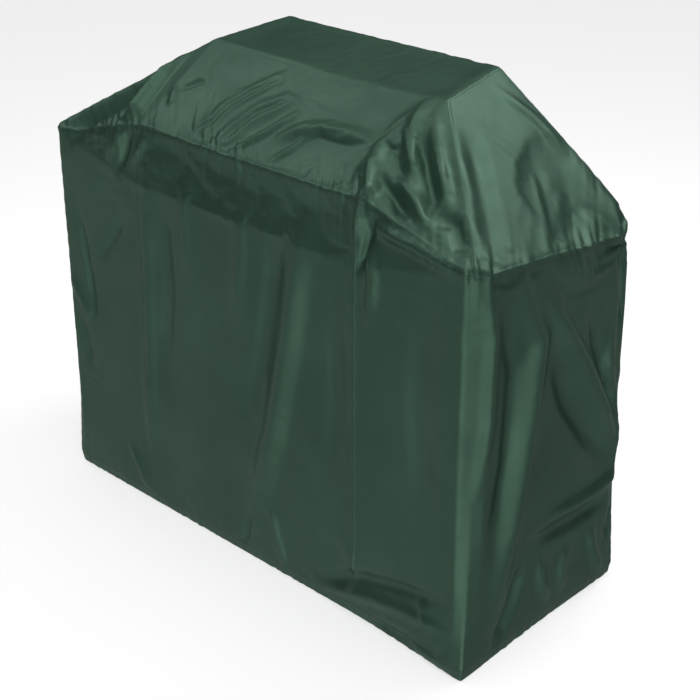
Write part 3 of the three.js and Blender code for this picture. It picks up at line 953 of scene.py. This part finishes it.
def thread_dash(path):
    """One stitch: a four-sided thread through four points, pointed at both ends."""
    along = (path[-1] - path[0]).normalized()
    one = along.orthogonal().normalized()
    two = along.cross(one)
    ring = [one, two, -one, -two]
    points = [path[0]] + [place + way * THREAD_RADIUS for place in path[1:3] for way in ring]
    points.append(path[3])
    faces = []
    for k in range(4):
        after = (k + 1) % 4
        faces.append([0, 1 + after, 1 + k])
        faces.append([1 + k, 1 + after, 5 + after, 5 + k])
        faces.append([9, 5 + k, 5 + after])
    return [tuple(point) for point in points], faces


# ----- hem and elastic

CASING_HEIGHT = 0.030
CASING = [                   # a ring of (height, lift), up the outside and down the inside
    (0.0005, -0.0008), (0.0025, -0.0038), (0.008, -0.0056), (0.020, -0.0056),
    (0.026, -0.0036), (CASING_HEIGHT, -0.0009), (CASING_HEIGHT + 0.0004, -0.0016),
    (0.0265, -0.0043), (0.0205, -0.0063), (0.0075, -0.0063), (0.0018, -0.0044),
    (-0.0001, -0.0010),
]
ELASTIC = [
    (0.005, -0.0020), (0.015, -0.0018), (0.025, -0.0020),
    (0.025, -0.0034), (0.015, -0.0036), (0.005, -0.0034),
]
HEM_ROW = CASING_HEIGHT - 0.002


def hem_ring(cloth, profile):
    """A ring round the hem: the casing, turned in and sewn down, or the elastic inside it."""
    levels = [(SKIRT, height, lift) for height, lift in profile]
    return ribbon(cloth, HEM_ROUTE, levels, closed=True)


# ----- materials

def node_material(name):
    """A new material with its node tree and its shader."""
    material = bpy.data.materials.new(name)
    material.use_nodes = True
    tree = material.node_tree
    shader = tree.nodes["Principled BSDF"]
    return material, tree, shader


def feed(tree, node, inputs):
    """Sets a node's inputs, each to a value or to a link from another socket."""
    for key, value in inputs.items():
        if isinstance(value, bpy.types.NodeSocket):
            tree.links.new(value, node.inputs[key])
        else:
            node.inputs[key].default_value = value


def add_node(tree, kind, settings=None, **inputs):
    """A node with its settings and its inputs."""
    node = tree.nodes.new(kind)
    for key, value in (settings or {}).items():
        setattr(node, key, value)
    feed(tree, node, inputs)
    return node


def noise(tree, place, scale, detail=2.0, roughness=0.5, distortion=0.0):
    """The 0 to 1 output of a noise texture."""
    node = add_node(tree, "ShaderNodeTexNoise", Vector=place, Scale=scale, Detail=detail,
                    Roughness=roughness, Distortion=distortion)
    return node.outputs["Fac"]


def bands(tree, place, direction, scale):
    """The 0 to 1 output of fine straight threads across one direction."""
    node = add_node(tree, "ShaderNodeTexWave", {"bands_direction": direction}, Vector=place,
                    Scale=scale, Distortion=0.3, Detail=1.0)
    return node.outputs["Fac"]


def spread(tree, value, low, high, new_low, new_high):
    """A value moved from one range to another, and kept inside it."""
    node = add_node(tree, "ShaderNodeMapRange", Value=value)
    feed(tree, node, {"From Min": low, "From Max": high, "To Min": new_low, "To Max": new_high})
    return node.outputs["Result"]


def combined(tree, operation, first, second):
    """Two values put through one operation, such as MULTIPLY."""
    node = add_node(tree, "ShaderNodeMath", {"operation": operation})
    feed(tree, node, {0: first, 1: second})
    return node.outputs[0]


def blended(tree, share, first, second):
    """Two colours mixed by a share."""
    node = add_node(tree, "ShaderNodeMix", {"data_type": "RGBA"})
    feed(tree, node, {0: share, 6: first, 7: second})
    return node.outputs[2]


def bump(tree, height, strength, distance, **stacked):
    """A bump node, stacked on an earlier one where its Normal is given."""
    node = add_node(tree, "ShaderNodeBump", Height=height, Strength=strength, Distance=distance,
                    **stacked)
    return node.outputs["Normal"]


CLOTH_DARK = (0.036, 0.082, 0.055, 1)
CLOTH_LIGHT = (0.054, 0.112, 0.078, 1)
CLOTH_WORN = (0.075, 0.140, 0.102, 1)
CLOTH_DUST = (0.085, 0.115, 0.085, 1)
THREAD_SCALE = 320.0         # of the weave's bands


def cover_cloth():
    """Green coated taffeta: satin sheen, fine weave, soft crinkles and slightly uneven dye."""
    material, tree, shader = node_material("cover_cloth")
    place = add_node(tree, "ShaderNodeTexCoord").outputs["Object"]
    patches = noise(tree, place, 3.2, detail=5.0, roughness=0.6)
    colour = blended(tree, spread(tree, patches, 0.3, 0.7, 0, 1), CLOTH_DARK, CLOTH_LIGHT)
    edges = add_node(tree, "ShaderNodeNewGeometry").outputs["Pointiness"]
    scuffs = noise(tree, place, 40.0, detail=4.0)
    worn = combined(tree, "MULTIPLY", spread(tree, edges, 0.52, 0.60, 0, 0.8),
                    spread(tree, scuffs, 0.35, 0.65, 0, 1))
    colour = blended(tree, worn, colour, CLOTH_WORN)
    height = add_node(tree, "ShaderNodeSeparateXYZ", Vector=place).outputs["Z"]
    dust = combined(tree, "MULTIPLY", spread(tree, height, 0.0, 0.10, 0.35, 0),
                    noise(tree, place, 22.0, detail=6.0))
    colour = blended(tree, dust, colour, CLOTH_DUST)
    gloss = noise(tree, place, 9.0, detail=4.0)
    threads = combined(tree, "MULTIPLY", bands(tree, place, "Z", THREAD_SCALE),
                       bands(tree, place, "DIAGONAL", THREAD_SCALE))
    relief = bump(tree, noise(tree, place, 26.0, 5.0, 0.55, 0.6), 0.5, 0.0012)
    relief = bump(tree, noise(tree, place, 110.0, 3.0, 0.5, 0.8), 0.35, 0.0004, Normal=relief)
    relief = bump(tree, threads, 0.12, 0.0001, Normal=relief)
    feed(tree, shader, {
        "Base Color": colour, "Roughness": spread(tree, gloss, 0.3, 0.7, 0.34, 0.46),
        "Metallic": 0.25, "Specular IOR Level": 0.6, "Specular Tint": (0.55, 1.0, 0.75, 1),
        "Normal": relief,
    })
    return material


def woven_trim(name, dark, light, scale, roughness):
    """Narrow woven goods: tape, elastic or thread, with ribs along and across."""
    material, tree, shader = node_material(name)
    place = add_node(tree, "ShaderNodeTexCoord").outputs["Object"]
    shade = noise(tree, place, scale / 8, detail=4.0)
    ribs = combined(tree, "ADD", bands(tree, place, "DIAGONAL", scale),
                    bands(tree, place, "Z", scale))
    feed(tree, shader, {
        "Base Color": blended(tree, shade, dark, light),
        "Roughness": spread(tree, shade, 0, 1, roughness - 0.08, roughness + 0.08),
        "Normal": bump(tree, ribs, 0.4, 0.0002),
    })
    return material


def floor_material():
    """A plain pale studio floor."""
    material, tree, shader = node_material("studio_floor")
    place = add_node(tree, "ShaderNodeTexCoord").outputs["Object"]
    tone = blended(tree, noise(tree, place, 1.5, 3.0), (0.86, 0.86, 0.86, 1), (0.90, 0.90, 0.90, 1))
    feed(tree, shader, {"Base Color": tone, "Roughness": 0.7, "Emission Color": (1, 1, 1, 1),
                        "Emission Strength": FLOOR_GLOW})
    return material


# ----- camera, lights

CAMERA_CENTRE = Vector((0, 0, 0.4817))
CAMERA_AZIMUTH, CAMERA_ELEVATION = 44.73, 26.14
CAMERA_DISTANCE = 3.778
CAMERA_PAN, CAMERA_TILT = -0.902, 0.102
CAMERA_LENS = 77.65


def towards_viewer(azimuth, elevation):
    """The direction from the object to a viewer; azimuth 0 looks along +Y."""
    a, e = math.radians(azimuth), math.radians(elevation)
    return Vector((math.sin(a) * math.cos(e), -math.cos(a) * math.cos(e), math.sin(e)))


def make_camera():
    """The camera at the photograph's angle."""
    camera = add_object("camera", bpy.data.cameras.new("camera"))
    camera.data.sensor_width = 36
    camera.data.lens = CAMERA_LENS
    outward_view = towards_viewer(CAMERA_AZIMUTH, CAMERA_ELEVATION)
    camera.location = CAMERA_CENTRE + outward_view * CAMERA_DISTANCE
    view = towards_viewer(CAMERA_AZIMUTH + CAMERA_PAN, CAMERA_ELEVATION + CAMERA_TILT)
    camera.rotation_euler = view.to_track_quat("Z", "Y").to_euler()
    bpy.context.scene.camera = camera


def area_light(name, place, target, size, power):
    """A soft rectangular light pointing at a place."""
    light = bpy.data.lights.new(name, "AREA")
    light.shape = "RECTANGLE"
    light.size, light.size_y = size
    light.energy = power
    lamp = add_object(name, light)
    lamp.location = place
    lamp.rotation_euler = (Vector(place) - Vector(target)).to_track_quat("Z", "Y").to_euler()


SOFTBOXES = {                # name: (place, target, width and height, power)
    "overhead": ((0.4, 0.2, 3.4), (0.1, 0.0, 0.8), (2.6, 2.2), 20),
    "end_softbox": ((0.9, 2.0, 3.3), (0.3, 0.0, 1.0), (1.6, 1.6), 24),
    "front_softbox": ((-2.0, -0.5, 3.3), (0.0, 0.0, 1.0), (1.6, 1.6), 10),
    "camera_fill": ((2.3, -2.6, 1.9), (0.0, 0.0, 0.5), (1.4, 1.2), 6),
}
FLOOR_GLOW = 0.60            # keeps the floor pale under the soft light
FLOOR_REACH = 60
SURROUND = [                 # (height of the direction from 0 to 1, brightness)
    (0.0, 0.42), (0.44, 0.42), (0.50, 0.03), (0.66, 0.03), (0.84, 0.35), (1.0, 0.35),
]
VIEWER_SIDE = (0.707, -0.707, 0.0)


def make_floor():
    """A pale floor under the cover. The lower half of the surround stands for it in reflections."""
    mesh = bpy.data.meshes.new("floor")
    far = FLOOR_REACH
    corners = [(-far, -far, 0), (far, -far, 0), (far, far, 0), (-far, far, 0)]
    mesh.from_pydata(corners, [], [(0, 1, 2, 3)])
    mesh.materials.append(floor_material())
    floor = add_object("floor", mesh)
    floor.visible_diffuse = False
    floor.visible_glossy = False


def make_surround():
    """A studio with a light floor, a dark horizon and a soft ceiling, lighter in front."""
    world = bpy.data.worlds.new("studio")
    bpy.context.scene.world = world
    world.use_nodes = True
    tree = world.node_tree
    direction = add_node(tree, "ShaderNodeTexCoord").outputs["Generated"]
    parts = add_node(tree, "ShaderNodeSeparateXYZ", Vector=direction)
    height = spread(tree, parts.outputs["Z"], -1, 1, 0, 1)
    ramp = add_node(tree, "ShaderNodeValToRGB", Fac=height)
    stops = ramp.color_ramp.elements
    while len(stops) < len(SURROUND):
        stops.new(0.5)
    for stop, (position, value) in zip(stops, SURROUND):
        stop.position = position
        stop.color = (value, value, value, 1)
    facing = add_node(tree, "ShaderNodeVectorMath", {"operation": "DOT_PRODUCT"})
    feed(tree, facing, {0: direction, 1: VIEWER_SIDE})
    strength = combined(tree, "MULTIPLY", spread(tree, facing.outputs["Value"], 0.6, 0.9, 1.0, 4.0),
                        spread(tree, parts.outputs["Y"], -0.7, 0.7, 1.15, 0.7))
    feed(tree, tree.nodes["Background"], {"Color": ramp.outputs["Color"], "Strength": strength})


def make_studio():
    """Floor, surround and softboxes."""
    make_floor()
    make_surround()
    for name, (place, target, size, power) in SOFTBOXES.items():
        area_light(name, place, target, size, power)
    bpy.context.scene.view_settings.view_transform = "Standard"


# ----- assembly

SHEETS = {                   # panel: (CAD nodes it stands for, flat size, flat area)
    "skirt_front": (["skirt_front"], (0.760, 1.080), None),
    "skirt_back": (["skirt_back"], (0.760, 1.080), None),
    "cap_strip": (
        ["cap_strip_" + part for part in
         ("front", "top", "back", "front_corner_left", "front_corner_right", "back_corner_left",
          "back_corner_right")],
        (1.460, 0.980), 0.75,
    ),
    **{f"cap_end_{side}": ([f"cap_end_{side}"], (0.600, 0.440), 0.19) for side in SIDES},
    **{f"side_wrap_{side}": ([f"side_wrap_{part}_{side}" for part in ("front", "end", "back")],
                             (1.280, 1.080), 1.29) for side in SIDES},
}


TRIMS = {                    # slot: (its darker and lighter colour, scale of its ribs, roughness)
    "seam_tape": ((0.022, 0.045, 0.031, 1), (0.036, 0.068, 0.047, 1), 700, 0.8),
    "thread": ((0.014, 0.030, 0.020, 1), (0.026, 0.052, 0.036, 1), 1500, 0.65),
    "elastic": ((0.010, 0.011, 0.010, 1), (0.018, 0.019, 0.018, 1), 900, 0.75),
}


def sewn_panels(cloth, fabric):
    """The seven panels of cloth, each with its folded edges over the seams."""
    welts = {"cap_strip": [(PANEL_SEAMS[face], CAP, SKIRT) for face in FACES]}
    for side in SIDES:
        welts["cap_end_" + side] = [(PANEL_SEAMS[side.capitalize()], CAP, SKIRT),
                                    (hip_route(side), "cap_end", "cap_strip")]
    for face in FACES:
        welts["skirt_" + face.lower()] = [(seam_route(side, face), "skirt", "side_wrap")
                                          for side in SIDES]
    for panel, (nodes, flat, area) in SHEETS.items():
        laps = [welt(cloth, *seam) for seam in welts.get(panel, [])]
        points, faces = joined(panel_shell(cloth, panel), *laps)
        piece = new_piece(panel + "_cloth", points, faces, fabric, "cover_cloth")
        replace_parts(piece, *nodes)


def tape_strips(cloth):
    """Every binding tape, by the CAD node it stands for."""
    strips = {"shoulder_tape_" + face.lower(): tape(cloth, names, SKIRT)
              for face, names in PANEL_SEAMS.items()}
    for side in SIDES:
        strips["hip_tape_" + side] = tape(cloth, hip_route(side), "cap_end")
        for face in FACES:
            node = f"seam_tape_{face.lower()}_{side}"
            strips[node] = tape(cloth, seam_route(side, face), "skirt")
    return strips


def stitch_lines(cloth):
    """Every row of stitching, by the CAD node it stands for."""
    shoulder = [name for names in PANEL_SEAMS.values() for name in names[:-1]]
    lines = {"shoulder_stitching_" + row: stitch_line(cloth, shoulder, SKIRT, distance, closed=True)
             for row, distance in SHOULDER_ROWS.items()}
    lines["hem_stitching"] = stitch_line(cloth, HEM_ROUTE, SKIRT, HEM_ROW, closed=True)
    for side in SIDES:
        lines["hip_stitching_" + side] = stitch_line(cloth, hip_route(side), "cap_end", SEAM_ROW)
        for face in FACES:
            node = f"seam_stitching_{face.lower()}_{side}"
            lines[node] = stitch_line(cloth, seam_route(side, face), "skirt", SEAM_ROW)
    return lines


def dress(cloth):
    """Every visible piece of the cover."""
    fabric = cover_cloth()
    materials = {slot: woven_trim(slot, *look) for slot, look in TRIMS.items()}
    sewn_panels(cloth, fabric)
    casing = new_piece("hem_casing", *hem_ring(cloth, CASING), fabric, "cover_cloth")
    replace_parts(casing, *[f"hem_casing_{face}" for face in ("front", "right", "back", "left")])
    trims = (
        ("elastic", "_band", {"hem_elastic": hem_ring(cloth, ELASTIC)}),
        ("seam_tape", "_strip", tape_strips(cloth)),
        ("thread", "_thread", stitch_lines(cloth)),
    )
    for slot, ending, solids in trims:
        for node, solid in solids.items():
            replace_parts(new_piece(node + ending, *solid, materials[slot], slot), node)


make_camera()
make_studio()
dress(settled_cloth())
bpy.context.view_layer.update()
